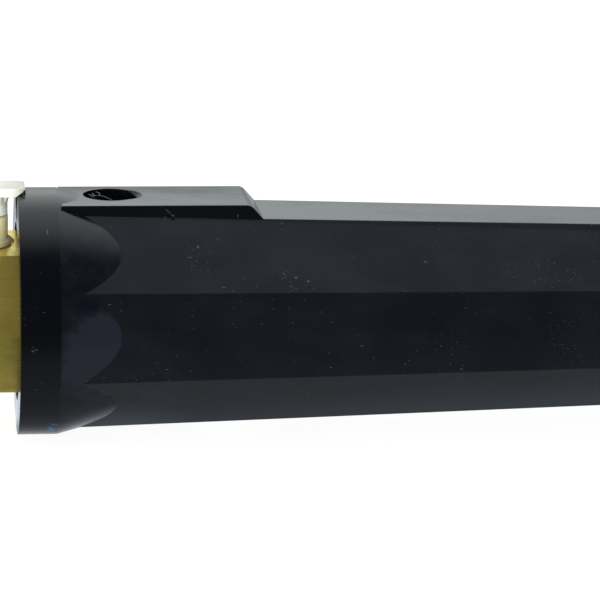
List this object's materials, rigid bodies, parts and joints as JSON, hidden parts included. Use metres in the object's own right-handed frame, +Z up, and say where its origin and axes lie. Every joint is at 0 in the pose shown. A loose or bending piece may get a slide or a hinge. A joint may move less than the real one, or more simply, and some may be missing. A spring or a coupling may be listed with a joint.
{
  "type": "electrode holder",
  "caption": "Tong-type welding electrode holder: sprung upper jaw with thumb pad, hexagonal brass body bar and octagonal insulated handle with a cable inlet.",
  "frame": {"origin": "on the surface the holder lies on, under the middle of its length and width", "axes": "+X along the centre line to the cable end, +Z up towards the thumb pad's side, +Y across, along the hinge pin"},
  "size_m": [0.242, 0.038, 0.0435],
  "materials": {
    "handle_plastic": "black moulded thermoplastic, satin gloss with fine scuffs",
    "insulator": "black glass-filled moulding, matt",
    "natural_nylon": "translucent natural nylon, smooth",
    "white_nylon": "white nylon",
    "fibre": "brown laminated insulating tube",
    "brass": "drawn and machined brass, slightly dull",
    "copper": "machined copper alloy",
    "bronze": "turned bearing bronze",
    "steel": "zinc-plated steel",
    "spring_steel": "spring wire",
    "rubber": "black rubber"
  },
  "bodies": {
    "holder": {"handle_shell": "handle_plastic", "liner_sleeve": "fibre", "handle_screw": "white_nylon", "cable_gland_ring": "rubber", "body_bar": "brass", "cable_clamp_screw": "steel", "cable_saddle": "copper", "lower_jaw_insert": "copper", "lower_insert_screw_1": "steel", "lower_insert_screw_2": "steel", "pivot_pin": "steel", "pivot_clip": "steel", "pivot_washer_near": "bronze", "pivot_washer_far": "bronze", "coil_spring": "spring_steel", "spring_seat_disc": "steel", "spring_sleeve": "natural_nylon", "lower_insulator": "insulator", "lower_insulator_screw": "steel"},
    "upper_jaw": {"upper_jaw_lever": "brass", "upper_jaw_insert": "copper", "upper_insert_screw_1": "steel", "upper_insert_screw_2": "steel", "thumb_pad": "natural_nylon", "thumb_pad_screw_1": "steel", "thumb_pad_screw_2": "steel", "pivot_bush": "bronze", "upper_insulator": "insulator", "upper_insulator_screw_1": "steel", "upper_insulator_screw_2": "steel"}
  },
  "joints": [
    {"name": "jaw_hinge", "type": "hinge", "parent": "holder", "child": "upper_jaw", "pos_m": [-0.035, 0, 0.0365], "axis": [0, 1, 0], "range_deg": [0, 5], "stiffness_Nm_per_rad": 6, "springref_deg": -8.59, "deforming": ["coil_spring", "spring_sleeve"]}
  ]
}
